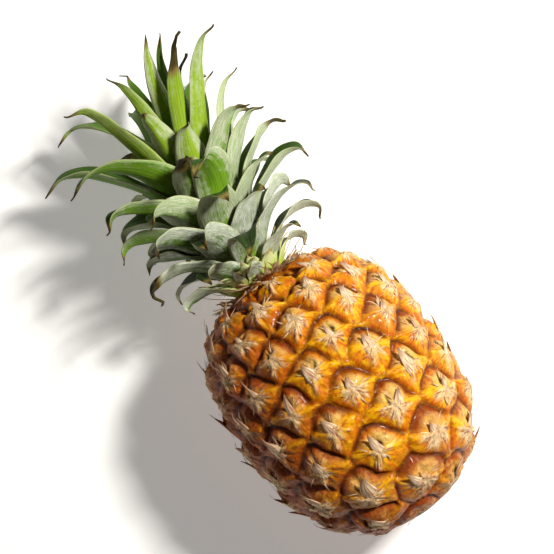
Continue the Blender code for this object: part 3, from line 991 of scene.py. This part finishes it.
        # The papery star round the middle is ragged; its pale patch is larger towards -Y, where the key light falls,
        # as painted light.
        ragged = np.sin(angle * 5.0 + rays[3]) + 0.8 * np.sin(angle * 9.0 + rays[2])
        ragged += 0.6 * np.sin(angle * 17.0 + rays[1])
        ripe = 0.40 + 0.14 * np.sin(rays[0] * 3.0) + 0.10 * smooth(-form.centres[eyes, 1] / MM, 0.0, 45.0)
        star = smooth(share + 0.08 * ragged, ripe + 0.12, ripe - 0.10) * lower + smooth(share, 0.24, 0.10) * upper
        star = np.maximum(star, 0.85 * tail * smooth(share, 0.95, 0.6) * lower)
        height += self.star_height * star
        # Shade is painted into the crease under the pocket's rim, and more faintly into the groove below.
        lean = np.where(pocket > 0.0, 1.5, 0.55)
        dark = upper * np.exp(-((pocket / lean) ** 2)) * (0.70 + 0.30 * rays[0] / TURN)
        dark += lower * np.exp(-((border / 0.6) ** 2)) * 0.24
        # Within 4 mm of a crease, the valley mark lets painted shade into the flanks.
        edge = np.where(upper > 0.5, np.abs(pocket), border)
        ridge = np.maximum(wings * smooth(share, 0.2, 0.5), upper * smooth(-pocket, 0.2, 1.0))
        return {
            "height": height,
            "crease_shade": np.clip(dark * (1.0 - 0.8 * wings), 0.0, 1.0),
            "valley_shade": np.clip(1.0 - smooth(edge, 0.0, 4.0), 0.0, 1.0),
            "ridge": np.clip(ridge, 0.0, 1.0),
            "star": np.clip(star, 0.0, 1.0),
            "lobe": upper * (1.0 - wings) * smooth(pocket, -0.3, 0.4),
            "reach": share,
            "tone": tone,
            "slit": np.clip(slit * 1.7 - 0.15, 0.0, 1.0),
            "fibre": np.stack((np.cos(angle) * 2.6, np.sin(angle) * 2.6, reach * 0.10 + eyes * 3.7), 1),
        }


@dataclass
class Strip:
    """One thin pointed blade that lifts off a surface: a bract's tip, a torn fibre or a small basal leaf."""

    foot: np.ndarray
    heading: np.ndarray
    outward: np.ndarray
    length: float
    width: float
    lifts: tuple[float, float]
    bend: float = 0.0
    tone: float = 0.5
    thick: float = 0.35 * MM
    keel: float = 0.35
    belly: float = 0.0

    def add(self, bm: bmesh.types.BMesh, rows: int, columns: int) -> None:
        """Add the blade to a bmesh.

        Args:
            bm: The bmesh to add to.
            rows: Points along the blade.
            columns: Points across it.
        """
        side = np.cross(self.outward, self.heading)
        shares = np.linspace(0.0, 1.0, rows)
        lift = self.lifts[0] + (self.lifts[1] - self.lifts[0]) * shares**1.6
        swing = self.bend * shares**1.5
        forward = self.heading * np.cos(swing)[:, None] + side * np.sin(swing)[:, None]
        tangent = forward * np.cos(lift)[:, None] + self.outward * np.sin(lift)[:, None]
        stride = self.length / (rows - 1)
        spine = self.foot + np.concatenate((np.zeros((1, 3)), np.cumsum(tangent[:-1] * stride, axis=0)))
        beside = unit(side * np.cos(swing)[:, None] - self.heading * np.sin(swing)[:, None])
        face = unit(np.cross(tangent, beside))
        across = np.linspace(-1.0, 1.0, columns)
        swell = np.sin(math.pi * (0.5 - 0.3 * self.belly + (0.5 + 0.3 * self.belly) * shares))
        half = 0.5 * self.width * np.maximum(swell, 0.0) ** 0.9 + 0.10 * MM
        ridge = (1.0 - np.abs(across))[None, :] * self.keel * half[:, None]
        surface = spine[:, None] + beside[:, None] * (across[None, :] * half[:, None])[..., None]
        surface = surface + face[:, None] * ridge[..., None]
        # A blade that meets the ground is pressed flat on it.
        surface[..., 2] = np.maximum(surface[..., 2], 0.4 * MM)
        under = np.repeat(-face[:, None], columns, axis=1)
        ones = np.ones((rows, columns))
        thick = self.thick * (1.0 - 0.5 * shares)[:, None] * ones
        marks = {"along": ones * shares[:, None], "across": ones * across[None, :], "tone": ones * self.tone}
        raise_sheet(bm, surface, under, thick, marks)


@dataclass
class BractTips:
    """The free papery tip of each eye's bract, and the shreds about its foot."""

    form: FruitForm
    length: float = 12.5 * MM
    width: float = 7.8 * MM
    shreds: int = 5
    usual_cell: float = 12.0 * MM
    # A tip is rooted this far under the eye's middle and behind it.
    root_depth: float = 1.3 * MM
    root_back: float = 4.2 * MM
    # Nothing grows lower than this over the floor, and no tip nearer the stalk than this.
    clearance: float = 7.0 * MM
    stalk_end: float = -66.0 * MM
    seed: int = 21

    def build(self) -> list[bpy.types.Object]:
        """Build every tip as one piece, and every shred as another.

        Returns:
            Both objects.
        """
        rng = np.random.default_rng(self.seed)
        tips, shreds = bmesh.new(), bmesh.new()
        for eye in range(self.form.eye_count):
            self.tip(tips, eye, rng)
            for _ in range(self.shreds):
                self.shred(shreds, eye, rng)
            self.bristle(shreds, eye, rng)
        paper = PaperFinish("dry_bract_paper").material()
        return [
            place(closed_mesh(tips, "bract_tips"), "bract_tips", paper, Slot.RIND),
            place(closed_mesh(shreds, "bract_shreds"), "bract_shreds", paper, Slot.RIND),
        ]

    def dryness_and_shade(self, eye: int) -> float:
        """How brown an eye's papery parts are: more towards +Y, partly their own drying, partly painted shade away
        from the key light.
        """
        return float(0.75 * smooth(self.form.centres[eye, 1] / MM, 0.0, 55.0))

    def heading(self, eye: int, turn: float) -> np.ndarray:
        """A direction along an eye's skin, turned from the crown's direction."""
        return self.form.crownward[eye] * math.cos(turn) + self.form.around[eye] * math.sin(turn)

    def tip(self, bm: bmesh.types.BMesh, eye: int, rng: np.random.Generator) -> None:
        """Add one eye's free tip, which curves over the eye towards the crown.

        Args:
            bm: The bmesh to add to.
            eye: Number of the eye.
            rng: Source of the tip's own irregularities.
        """
        form, outward = self.form, self.form.outward[eye]
        size = form.cell[eye] / self.usual_cell
        heading = self.heading(eye, rng.normal(0.03, 0.2))
        foot = form.middle + form.centres[eye] - outward * self.root_depth
        foot = foot - form.crownward[eye] * self.root_back * size
        if foot[2] < self.clearance or form.centres[eye, 0] < self.stalk_end:
            return
        dryness_and_shade = self.dryness_and_shade(eye)
        lifts = (math.radians(rng.uniform(13.0, 19.0)), math.radians(rng.uniform(-10.0, 22.0) + 24.0 * dryness_and_shade))
        # Tips towards +Y are pinker and browner: partly their own drying, partly painted shade.
        tone = 0.45 * rng.uniform() + 0.55 * dryness_and_shade
        length = self.length * size * rng.uniform(0.75, 1.2)
        width = self.width * size * rng.uniform(0.55, 1.1)
        bend = rng.normal(0.0, 0.35)
        Strip(foot, heading, outward, length, width, lifts, bend, tone, keel=0.3).add(bm, 11, 7)

    def shred(self, bm: bmesh.types.BMesh, eye: int, rng: np.random.Generator) -> None:
        """Add one torn fibre beside the tip's foot.

        Args:
            bm: The bmesh to add to.
            eye: Number of the eye.
            rng: Source of the fibre's own irregularities.
        """
        form, outward = self.form, self.form.outward[eye]
        heading = self.heading(eye, rng.uniform(-math.pi, math.pi))
        foot = form.middle + form.centres[eye] + outward * -0.4 * MM + heading * rng.uniform(0.5, 3.0) * MM
        if foot[2] < self.clearance:
            return
        lifts = (math.radians(rng.uniform(-8.0, 4.0)), math.radians(rng.uniform(-24.0, 24.0)))
        tone = 0.6 * rng.uniform() + 0.4 * self.dryness_and_shade(eye)
        length = rng.uniform(4.0, 9.0) * MM * form.cell[eye] / self.usual_cell
        width, bend = rng.uniform(0.4, 1.2) * MM, rng.normal(0.0, 0.8)
        Strip(foot, heading, outward, length, width, lifts, bend, tone, thick=0.25 * MM).add(bm, 5, 2)

    def bristle(self, bm: bmesh.types.BMesh, eye: int, rng: np.random.Generator) -> None:
        """Add the long dry bristle that stands off the fruit's browner side.

        Args:
            bm: The bmesh to add to.
            eye: Number of the eye.
            rng: Source of the bristle's own irregularities.
        """
        form, outward = self.form, self.form.outward[eye]
        if self.dryness_and_shade(eye) < rng.uniform(0.1, 0.6):
            return
        heading = self.heading(eye, rng.normal(0.0, 0.35))
        foot = form.middle + form.centres[eye] - outward * 0.6 * MM
        if foot[2] < self.clearance:
            return
        lifts = (math.radians(rng.uniform(25.0, 45.0)), math.radians(rng.uniform(-50.0, 10.0)))
        length, width, bend = rng.uniform(9.0, 15.0) * MM, rng.uniform(0.7, 1.2) * MM, rng.normal(0.0, 0.5)
        Strip(foot, heading, outward, length, width, lifts, bend, 0.9, thick=0.3 * MM).add(bm, 9, 2)


@dataclass
class Collar:
    """Small basal leaves and dry scales that hide the joint between the fruit and its crown."""

    form: FruitForm
    leaves: int = 30
    scales: int = 46
    hairs: int = 26
    seed: int = 5

    def build(self) -> list[bpy.types.Object]:
        """Build the basal leaves, the dry scales and the loose fibres.

        Returns:
            The objects.
        """
        rng = np.random.default_rng(self.seed)
        leaves, scales = bmesh.new(), bmesh.new()
        for index in range(self.leaves):
            self.blade(leaves, index / self.leaves, rng)
        for index in range(self.scales):
            self.scale(scales, rng, rng.uniform(13.0, 25.0), rng.uniform(6.0, 13.0), rng.uniform(3.0, 6.5), 0.5)
        for index in range(self.hairs):
            self.scale(scales, rng, rng.uniform(13.0, 24.0), rng.uniform(10.0, 20.0), rng.uniform(0.5, 1.1), 1.2)
        lime = BasalLeafFinish().material()
        paper = PaperFinish("dry_collar_scale", "#D8B98C", "#8E5F3C", "#4E2F1A").material()
        return [
            place(closed_mesh(leaves, "basal_leaves"), "basal_leaves", lime, Slot.LEAF_LOW),
            place(closed_mesh(scales, "collar_scales"), "collar_scales", paper, Slot.RIND),
        ]

    def spot(self, turn: float, radius: float) -> tuple[np.ndarray, np.ndarray, np.ndarray]:
        """A place on the fruit's crown end.

        Args:
            turn: Angle round the fruit from straight up.
            radius: Distance from its axis in mm.

        Returns:
            The point, the direction away from the skin, and the one along it away from the axis.
        """
        form = self.form
        crown_end = form.outline[form.outline[:, 0] > 0.0][::-1]
        x = float(np.interp(radius * MM, crown_end[:, 1], crown_end[:, 0]))
        outward, crownward, _ = form.skin_frame(np.array([x]), np.array([turn]))
        point = form.middle + np.array((x, radius * MM * math.sin(turn), radius * MM * math.cos(turn)))
        return point, outward[0], -crownward[0]

    def blade(self, bm: bmesh.types.BMesh, share: float, rng: np.random.Generator) -> None:
        """Add one small basal leaf.

        Args:
            bm: The bmesh to add to.
            share: 0 for the innermost leaf, to 1 for the outermost.
            rng: Source of the leaf's own irregularities.
        """
        turn = share * self.leaves * GOLDEN_ANGLE + rng.normal(0.0, 0.1)
        foot, outward, away = self.spot(turn, 11.5 + 3.5 * share)
        lifts = (math.radians(78.0 - 22.0 * share), math.radians(rng.uniform(-12.0, 34.0)))
        foot = foot - outward * 0.8 * MM
        length, width = rng.uniform(13.0, 24.0) * MM, rng.uniform(7.0, 10.5) * MM
        bend, tone = rng.normal(0.0, 0.35), rng.uniform()
        leaf = Strip(foot, away, outward, length, width, lifts, bend, tone, thick=0.8 * MM, keel=-0.22, belly=0.5)
        leaf.add(bm, 13, 7)

    def scale(
        self,
        bm: bmesh.types.BMesh,
        rng: np.random.Generator,
        radius: float,
        length: float,
        width: float,
        swing: float,
    ) -> None:
        """Add one dry scale or fibre on the shoulder.

        Args:
            bm: The bmesh to add to.
            rng: Source of the scale's own irregularities.
            radius: Distance of its foot from the fruit's axis, in mm.
            length: Its length in mm.
            width: Its width in mm.
            swing: How much it may bend sideways, in radians.
        """
        foot, outward, away = self.spot(rng.uniform(-math.pi, math.pi), radius)
        foot = foot - outward * 0.3 * MM
        lifts = (math.radians(rng.uniform(5.0, 45.0)), math.radians(rng.uniform(-15.0, 70.0)))
        bend, tone = rng.normal(0.0, swing), rng.uniform()
        scale = Strip(foot, away, outward, length * MM, width * MM, lifts, bend, tone, thick=0.3 * MM, keel=0.25)
        scale.add(bm, 8, 3)


# ---------------------------------------------------------------------------------------------------------
# the crown
# ---------------------------------------------------------------------------------------------------------
@dataclass
class LeafForm:
    """A crown leaf read from its CAD node: cross-sections from the base to the pointed tip."""

    node: str
    axis: "CrownAxis"

    def __post_init__(self) -> None:
        """Find the rings of points that make up the plain leaf."""
        bm = bmesh.new()
        bm.from_mesh(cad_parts[self.node].data)
        bmesh.ops.remove_doubles(bm, verts=bm.verts, dist=0.01 * MM)
        tip = max(bm.verts, key=lambda v: sum(len(ring) == 6 for ring in self.levels([v])))
        rings = [ring for ring in self.levels([tip]) if len(ring) == 6][::-1]
        self.tip = np.array(tip.co)
        self.sections, self.outers, self.thick = self.read(rings)
        bm.free()

    def levels(self, start: list[bmesh.types.BMVert]) -> list[list[bmesh.types.BMVert]]:
        """Group the points by how many edges they are from the start.

        Args:
            start: The points to start from.

        Returns:
            The groups, the start first.
        """
        seen, found = set(start), [list(start)]
        while found[-1]:
            ring = {e.other_vert(v) for v in found[-1] for e in v.link_edges} - seen
            seen |= ring
            found.append(sorted(ring, key=lambda v: v.index))
        return found[:-1]

    def cycle(self, ring: list[bmesh.types.BMVert]) -> list[bmesh.types.BMVert]:
        """Put a ring's points in order round it.

        Args:
            ring: The points, in any order.

        Returns:
            The same points, each next to its neighbours.
        """
        members, order = set(ring), [ring[0]]
        while len(order) < len(ring):
            sides = [e for e in order[-1].link_edges if not all(members.issuperset(f.verts) for f in e.link_faces)]
            order.append(next(v for v in (e.other_vert(order[-1]) for e in sides) if v in members and v not in order))
        return order

    def read(self, rings: list[list[bmesh.types.BMVert]]) -> tuple[np.ndarray, np.ndarray, np.ndarray]:
        """Turn the rings into points across the blade.

        Args:
            rings: The rings from base to tip.

        Returns:
            Four points across the middle of the blade, outer direction and thickness, per ring.
        """
        sections, outers, thick = [], [], []
        last_side, last_out = None, None
        for ring in rings:
            points = [np.array(v.co) for v in self.cycle(ring)]
            first = max(range(3), key=lambda i: np.linalg.norm(points[i] - points[i + 3]))
            left, right = points[first], points[first + 3]
            one = [points[first + 1], points[first + 2]]
            two = [points[(first + 5) % 6], points[(first + 4) % 6]]
            out = (one[0] + one[1] - two[0] - two[1]) / 2.0
            guide = last_out if last_out is not None else (left + right) / 2.0 - self.axis.at((left + right)[0] / 2.0)
            if np.dot(out, guide) < 0:
                one, two, out = two, one, -out
            middle = [(one[0] + two[0]) / 2.0, (one[1] + two[1]) / 2.0]
            if last_side is not None and np.dot(right - left, last_side) < 0:
                left, right, middle = right, left, middle[::-1]
            last_side, last_out = right - left, out
            sections.append((left, *middle, right))
            thick.append(np.linalg.norm(out))
            outers.append(out / max(thick[-1], 1e-9))
        return np.array(sections), np.array(outers), np.array(thick)


@dataclass
class CrownAxis:
    """The middle of the crown's leaning stem, read from its CAD node."""

    node: str = "crown_stem"

    def __post_init__(self) -> None:
        """Average the stem's points ring by ring."""
        points = np.array([v.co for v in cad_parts[self.node].data.vertices], float)
        self.heights = np.unique(np.round(points[:, 0], 4))
        self.middles = np.array([points[np.abs(points[:, 0] - h) < 0.2 * MM].mean(0) for h in self.heights])

    def at(self, height: float) -> np.ndarray:
        """Middle of the stem at a place along the fruit's axis."""
        return np.array([np.interp(height, self.heights, self.middles[:, i]) for i in range(3)])


@dataclass
class CrownLeaf:
    """One crown leaf as a fine blade over its CAD leaf: channelled, wavy edged, with a dry curled tip."""

    form: LeafForm
    number: int
    level: float
    finish: bpy.types.Material
    slot: Slot
    rows: int = 44
    columns: int = 13
    edge_wave: float = 0.7 * MM
    midrib: float = 0.25 * MM
    crinkle: float = 0.25 * MM
    withered_crinkle: float = 0.5 * MM
    tip_sway: float = 2.2
    tip_curl: tuple[float, float] = (0.3, 3.8)
    edge_thinning: float = 0.72

    def build(self) -> bpy.types.Object:
        """Build the leaf.

        Returns:
            The leaf's object.
        """
        rng = np.random.default_rng(100 + self.number)
        tone = float(np.random.default_rng(500 + self.number).uniform())
        surface, under, thick = self.blade(rng, float(smooth(tone, 0.84, 0.92)))
        rows = np.linspace(0.0, 1.0, self.rows)[:, None] * np.ones((1, self.columns))
        across = np.ones((self.rows, 1)) * np.linspace(-1.0, 1.0, self.columns)[None, :]
        # Leaves that point towards -Y, where the key light falls, get more pale scurf: painted light over the scurf's
        # own spread.
        away = self.form.sections[2:6].mean((0, 1)) - self.form.axis.at(self.form.sections[3, 0, 0])
        lit = -away[1] / max(np.linalg.norm(away), 1e-6)
        bloom_and_light = np.clip(0.95 - 0.85 * self.level + 0.26 * lit + rng.uniform(-0.22, 0.22), 0.16, 1.0)
        ones = np.ones((self.rows, self.columns))
        marks = {"along": rows, "across": across, "tone": ones * tone, "bloom_and_light": ones * bloom_and_light}
        bm = bmesh.new()
        raise_sheet(bm, surface, under, thick, marks)
        node = self.form.node
        return place(closed_mesh(bm, node), f"leaf_{self.number:02d}", self.finish, self.slot, node)

    def through(self, values: np.ndarray, shares: np.ndarray) -> np.ndarray:
        """Run a smooth curve through values at even steps.

        Args:
            values: Values at the leaf's stations.
            shares: Where to read the curve, from 0 to 1.

        Returns:
            The values there.
        """
        spots = shares * (len(values) - 1)
        index = np.clip(spots.astype(int), 0, len(values) - 2)
        part = (spots - index).reshape((-1,) + (1,) * (values.ndim - 1))
        padded = np.concatenate((2 * values[:1] - values[1:2], values, 2 * values[-1:] - values[-2:-1]))
        a, b, c, d = (padded[index + i] for i in range(4))
        return b + 0.5 * part * (c - a + part * (2 * a - 5 * b + 4 * c - d + part * (3 * (b - c) + d - a)))

    def blade(self, rng: np.random.Generator, withered: float) -> tuple[np.ndarray, np.ndarray, np.ndarray]:
        """Work out the blade's middle surface, its outer side and its thickness.

        Args:
            rng: Source of the leaf's own irregularities.
            withered: How far its end has dried and shrunk, from 0 to 1.

        Returns:
            Points, outer directions and thicknesses, rows by columns.
        """
        form = self.form
        tip = np.repeat(form.tip[None, None], 4, axis=1)
        sections = np.concatenate((form.sections, tip))
        shares = np.linspace(0.0, 1.0, self.rows)
        lines = self.through(sections, shares)
        spine = lines.mean(1, keepdims=True)
        lines = spine + (lines - spine) * (1.0 - 0.5 * withered * smooth(shares, 0.68, 0.86))[:, None, None]
        w = np.linspace(-1.0, 1.0, self.columns)
        nodes = (-1.0, -1.0 / 3.0, 1.0 / 3.0, 1.0)
        weights = np.stack([np.prod([(w - m) / (n - m) for m in nodes if m != n], axis=0) for n in nodes], 1)
        surface = np.einsum("rkc,wk->rwc", lines, weights)
        outers = self.through(np.concatenate((form.outers, form.outers[-1:])), shares)
        under = unit(np.cross(np.gradient(surface, axis=0), np.gradient(surface, axis=1)))
        turned = np.sign(np.einsum("rwc,rc->rw", under, outers))
        middle = self.columns // 2
        under = under * np.sign(turned[:, middle].sum() + 0.1)
        under[-2:] = under[-3]
        half = np.linalg.norm(lines[:, 3] - lines[:, 0], axis=1) / 2.0
        phase = rng.uniform(0.0, 6.28, 3)
        wave = np.sin(shares * 17.0 + phase[0])[:, None] * np.clip(w, 0, 1) ** 3
        wave = wave + np.sin(shares * 14.0 + phase[1])[:, None] * np.clip(-w, 0, 1) ** 3
        body = (shares * (1.0 - shares) * 4.0)[:, None]
        surface = surface + under * (wave * body * np.minimum(0.09 * half, self.edge_wave)[:, None])[..., None]
        groove = np.exp(-((w / 0.22) ** 2))[None, :] * body * self.midrib
        fold = rng.uniform(0.0, 0.5) * half[:, None] * (0.45 - np.abs(w))[None, :] * smooth(shares, 0.3, 0.75)[:, None]
        surface = surface + under * (groove + fold)[..., None]
        across = unit(lines[:, 3] - lines[:, 0])[:, None]
        hook = smooth(shares, 0.80, 1.0)[:, None, None] ** 2 * MM
        curl, sway = rng.uniform(*self.tip_curl), rng.normal(0.0, self.tip_sway)
        surface = surface + hook * (under[:, middle][:, None] * curl + across * sway)
        crinkle = np.sin(shares[:, None] * 31.0 + w[None, :] * 4.0 + phase[2]) * smooth(shares, 0.55, 0.9)[:, None]
        surface = surface + under * (crinkle * (self.crinkle + self.withered_crinkle * withered))[..., None]
        thick = self.through(np.concatenate((form.thick, form.thick[-1:] * 0.6)), shares)
        thick = thick[:, None] * (1.0 - self.edge_thinning * w**2)[None, :]
        return surface, under, thick


@dataclass
class Crown:
    """The whole tuft: every leaf over its CAD node, and the stem inside."""

    low_share: float = 0.33
    middle_share: float = 0.7

    def build(self) -> list[bpy.types.Object]:
        """Build the leaves and dress the stem.

        Returns:
            The leaves' objects.
        """
        finishes = {
            # The low leaves' inner green is darkest, as painted shade deep in the crown.
            Slot.LEAF_LOW: LeafFinish(
                "grey_green_leaf", under="#668F28", inner="#182A0A", vein="#3F5E1A", bloom_and_light="#DEE2D2"
            ).material(),
            Slot.LEAF_MIDDLE: LeafFinish("green_leaf").material(),
            Slot.LEAF_HIGH: LeafFinish(
                "young_yellow_green_leaf", under="#9ABA2C", inner="#4C7816", vein="#74981C", lime="#C0CC54"
            ).material(),
        }
        axis = CrownAxis()
        names = sorted(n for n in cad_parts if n.startswith("crown_leaf_"))
        leaves = []
        for number, node in enumerate(names, start=1):
            level = (number - 1) / (len(names) - 1)
            slot = self.slot(level)
            leaves.append(CrownLeaf(LeafForm(node, axis), number, level, finishes[slot], slot).build())
        self.dress(axis.node, StemFinish("pale_crown_stem"))
        self.dress("stalk_stub", StemFinish("dry_cut_stalk", "#A98D5C", "#5E4426"))
        return leaves

    def slot(self, level: float) -> Slot:
        """Slot of a leaf.

        Args:
            level: How far up the crown it sits, from 0 to 1.

        Returns:
            The slot, which also says how old the leaf is.
        """
        if level < self.low_share:
            return Slot.LEAF_LOW
        return Slot.LEAF_MIDDLE if level < self.middle_share else Slot.LEAF_HIGH

    def dress(self, node: str, finish: StemFinish) -> None:
        """Give a CAD node that stays its finish.

        Args:
            node: The node's name.
            finish: The finish.
        """
        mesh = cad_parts[node].data
        mesh.materials.clear()
        mesh.materials.append(finish.material())
        LOG.info("%s: dressed in %s", node, finish.name)


# ---------------------------------------------------------------------------------------------------------
# the studio
# ---------------------------------------------------------------------------------------------------------
@dataclass(frozen=True)
class Lamp:
    """One soft square light, hung at an offset from what it is aimed at."""

    name: str
    offset: tuple[float, float, float]
    watts: float
    size: float
    colour: str

    def hang(self, target: Vector) -> None:
        """Hang the lamp.

        Args:
            target: What it is aimed at.
        """
        data = bpy.data.lights.new(self.name, "AREA")
        data.energy, data.size, data.color = self.watts, self.size, linear(self.colour)[:3]
        lamp = bpy.data.objects.new(self.name, data)
        lamp.location = target + Vector(self.offset)
        lamp.rotation_euler = (-Vector(self.offset)).to_track_quat("-Z", "Y").to_euler()
        bpy.context.scene.collection.objects.link(lamp)


@dataclass
class Studio:
    """Pale floor, soft lights and the camera that looks straight down."""

    look_at: tuple[float, float, float] = (0.071, -0.0085, 0.06)
    frame_width: float = 0.294
    distance: float = 1.6
    # The camera's right and up, so that the crown points up and to the left.
    right: tuple[float, float, float] = (-0.588, -0.809, 0.0)
    up: tuple[float, float, float] = (0.809, -0.588, 0.0)
    key: Lamp = Lamp("key", (0.02, -0.87, 1.12), 27.0, 0.20, "#FFFCF6")
    fill: Lamp = Lamp("fill", (0.2, 0.9, 1.2), 1.2, 1.2, "#FFDCB8")
    sky: float = 0.04
    floor_reach: float = 3.0

    def build(self) -> None:
        """Build the floor, the lights and the camera."""
        self.floor()
        self.camera()
        for lamp in (self.key, self.fill):
            lamp.hang(Vector(self.look_at))
        world = bpy.data.worlds.new("studio")
        bpy.context.scene.world = world
        world.use_nodes = True
        background = world.node_tree.nodes["Background"]
        background.inputs["Color"].default_value = linear("#FFFFFF")
        background.inputs["Strength"].default_value = self.sky
        bpy.context.scene.view_settings.view_transform = "Standard"

    def floor(self) -> None:
        """Lay the floor."""
        bm = bmesh.new()
        bmesh.ops.create_grid(bm, x_segments=4, y_segments=4, size=self.floor_reach)
        mesh = bpy.data.meshes.new("floor")
        bm.to_mesh(mesh)
        bm.free()
        mesh.materials.append(FloorFinish().material())
        floor = bpy.data.objects.new("floor", mesh)
        bpy.context.scene.collection.objects.link(floor)

    def camera(self) -> None:
        """Hang the camera over the fruit."""
        right, up = Vector(self.right).normalized(), Vector(self.up).normalized()
        back = right.cross(up)
        data = bpy.data.cameras.new("camera")
        data.sensor_width = 36.0
        data.lens = data.sensor_width * self.distance / self.frame_width
        camera = bpy.data.objects.new("camera", data)
        turn = Matrix((right, up, back)).transposed().to_4x4()
        camera.matrix_world = Matrix.Translation(Vector(self.look_at) + back * self.distance) @ turn
        bpy.context.scene.collection.objects.link(camera)
        bpy.context.scene.camera = camera


def main() -> None:
    """Build the pineapple, piece by piece, and the studio round it."""
    logging.basicConfig(level=logging.INFO, format="%(name)s %(message)s")
    form = FruitForm()
    Rind(form).build()
    BractTips(form).build()
    Collar(form).build()
    Crown().build()
    Studio().build()


if __name__ == "__main__":
    main()
